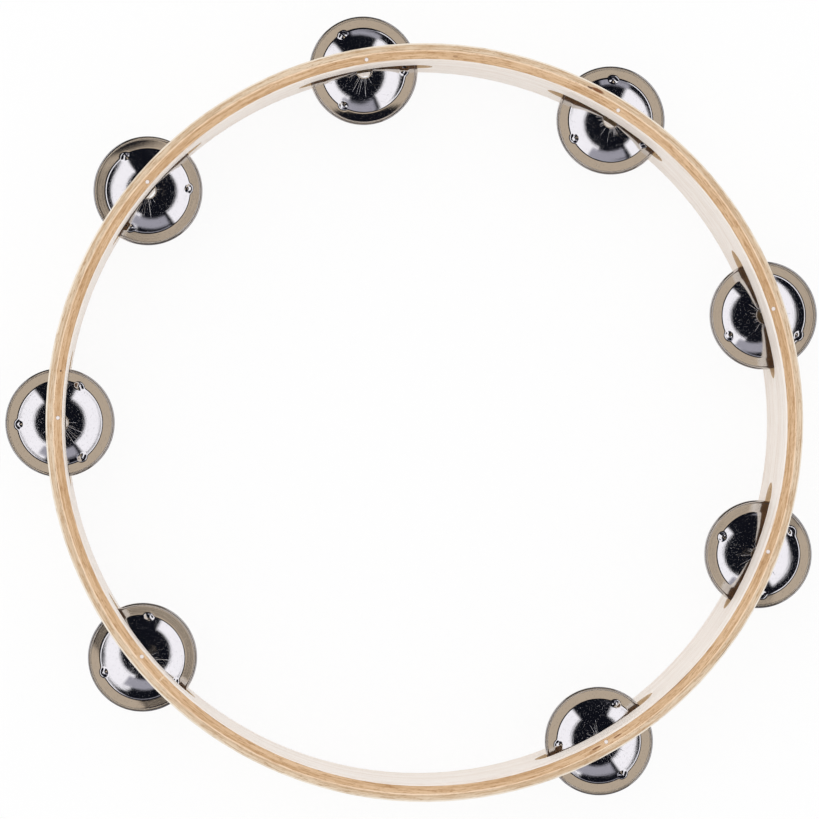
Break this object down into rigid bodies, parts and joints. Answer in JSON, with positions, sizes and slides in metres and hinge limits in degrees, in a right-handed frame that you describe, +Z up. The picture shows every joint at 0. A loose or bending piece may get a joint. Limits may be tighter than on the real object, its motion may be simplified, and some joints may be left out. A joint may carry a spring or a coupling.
{
  "type": "tambourine",
  "caption": "Headless round tambourine: a laminated birch hoop with a row of long slots, each holding a loose pair of domed steel jingles on a steel pin, and a plain hand grip.",
  "frame": {"origin": "on the hoop's axis, in the plane of the lower rim", "axes": "+Z up along the hoop's axis; -Y towards the plain grip; +X to the right of the grip seen from above with the grip nearest"},
  "size_m": [0.2791, 0.2593, 0.045],
  "materials": {
    "birch_face": "clear satin lacquer over pale birch veneer",
    "birch_edge": "lacquered birch ply seen on its edge",
    "birch_pale": "lacquered pale veneer between the core plies",
    "birch_core": "lacquered tan core ply",
    "jingle_steel": "bright nickel-plated sheet steel",
    "pin_steel": "ground steel"
  },
  "bodies": {
    "hoop": {"outer_veneer": "birch_face", "outer_core": "birch_edge", "middle_veneer": "birch_pale", "inner_core": "birch_core", "inner_veneer": "birch_face", "pin_1": "pin_steel", "pin_2": "pin_steel", "pin_3": "pin_steel", "pin_4": "pin_steel", "pin_5": "pin_steel", "pin_6": "pin_steel", "pin_7": "pin_steel", "pin_8": "pin_steel"},
    "lower_jingle_1": {"lower_jingle_1": "jingle_steel"},
    "upper_jingle_1": {"upper_jingle_1": "jingle_steel"},
    "lower_jingle_2": {"lower_jingle_2": "jingle_steel"},
    "upper_jingle_2": {"upper_jingle_2": "jingle_steel"},
    "lower_jingle_3": {"lower_jingle_3": "jingle_steel"},
    "upper_jingle_3": {"upper_jingle_3": "jingle_steel"},
    "lower_jingle_4": {"lower_jingle_4": "jingle_steel"},
    "upper_jingle_4": {"upper_jingle_4": "jingle_steel"},
    "lower_jingle_5": {"lower_jingle_5": "jingle_steel"},
    "upper_jingle_5": {"upper_jingle_5": "jingle_steel"},
    "lower_jingle_6": {"lower_jingle_6": "jingle_steel"},
    "upper_jingle_6": {"upper_jingle_6": "jingle_steel"},
    "lower_jingle_7": {"lower_jingle_7": "jingle_steel"},
    "upper_jingle_7": {"upper_jingle_7": "jingle_steel"},
    "lower_jingle_8": {"lower_jingle_8": "jingle_steel"},
    "upper_jingle_8": {"upper_jingle_8": "jingle_steel"}
  },
  "joints": [
    {"name": "lower_rattle_1", "type": "slide", "parent": "hoop", "child": "lower_jingle_1", "axis": [0, 0, 1], "range_m": [0, 0.0019]},
    {"name": "upper_rattle_1", "type": "slide", "parent": "lower_jingle_1", "child": "upper_jingle_1", "axis": [0, 0, 1], "range_m": [0, 0.0019]},
    {"name": "lower_rattle_2", "type": "slide", "parent": "hoop", "child": "lower_jingle_2", "axis": [0, 0, 1], "range_m": [0, 0.0019]},
    {"name": "upper_rattle_2", "type": "slide", "parent": "lower_jingle_2", "child": "upper_jingle_2", "axis": [0, 0, 1], "range_m": [0, 0.0019]},
    {"name": "lower_rattle_3", "type": "slide", "parent": "hoop", "child": "lower_jingle_3", "axis": [0, 0, 1], "range_m": [0, 0.0019]},
    {"name": "upper_rattle_3", "type": "slide", "parent": "lower_jingle_3", "child": "upper_jingle_3", "axis": [0, 0, 1], "range_m": [0, 0.0019]},
    {"name": "lower_rattle_4", "type": "slide", "parent": "hoop", "child": "lower_jingle_4", "axis": [0, 0, 1], "range_m": [0, 0.0019]},
    {"name": "upper_rattle_4", "type": "slide", "parent": "lower_jingle_4", "child": "upper_jingle_4", "axis": [0, 0, 1], "range_m": [0, 0.0019]},
    {"name": "lower_rattle_5", "type": "slide", "parent": "hoop", "child": "lower_jingle_5", "axis": [0, 0, 1], "range_m": [0, 0.0019]},
    {"name": "upper_rattle_5", "type": "slide", "parent": "lower_jingle_5", "child": "upper_jingle_5", "axis": [0, 0, 1], "range_m": [0, 0.0019]},
    {"name": "lower_rattle_6", "type": "slide", "parent": "hoop", "child": "lower_jingle_6", "axis": [0, 0, 1], "range_m": [0, 0.0019]},
    {"name": "upper_rattle_6", "type": "slide", "parent": "lower_jingle_6", "child": "upper_jingle_6", "axis": [0, 0, 1], "range_m": [0, 0.0019]},
    {"name": "lower_rattle_7", "type": "slide", "parent": "hoop", "child": "lower_jingle_7", "axis": [0, 0, 1], "range_m": [0, 0.0019]},
    {"name": "upper_rattle_7", "type": "slide", "parent": "lower_jingle_7", "child": "upper_jingle_7", "axis": [0, 0, 1], "range_m": [0, 0.0019]},
    {"name": "lower_rattle_8", "type": "slide", "parent": "hoop", "child": "lower_jingle_8", "axis": [0, 0, 1], "range_m": [0, 0.0019]},
    {"name": "upper_rattle_8", "type": "slide", "parent": "lower_jingle_8", "child": "upper_jingle_8", "axis": [0, 0, 1], "range_m": [0, 0.0019]}
  ]
}
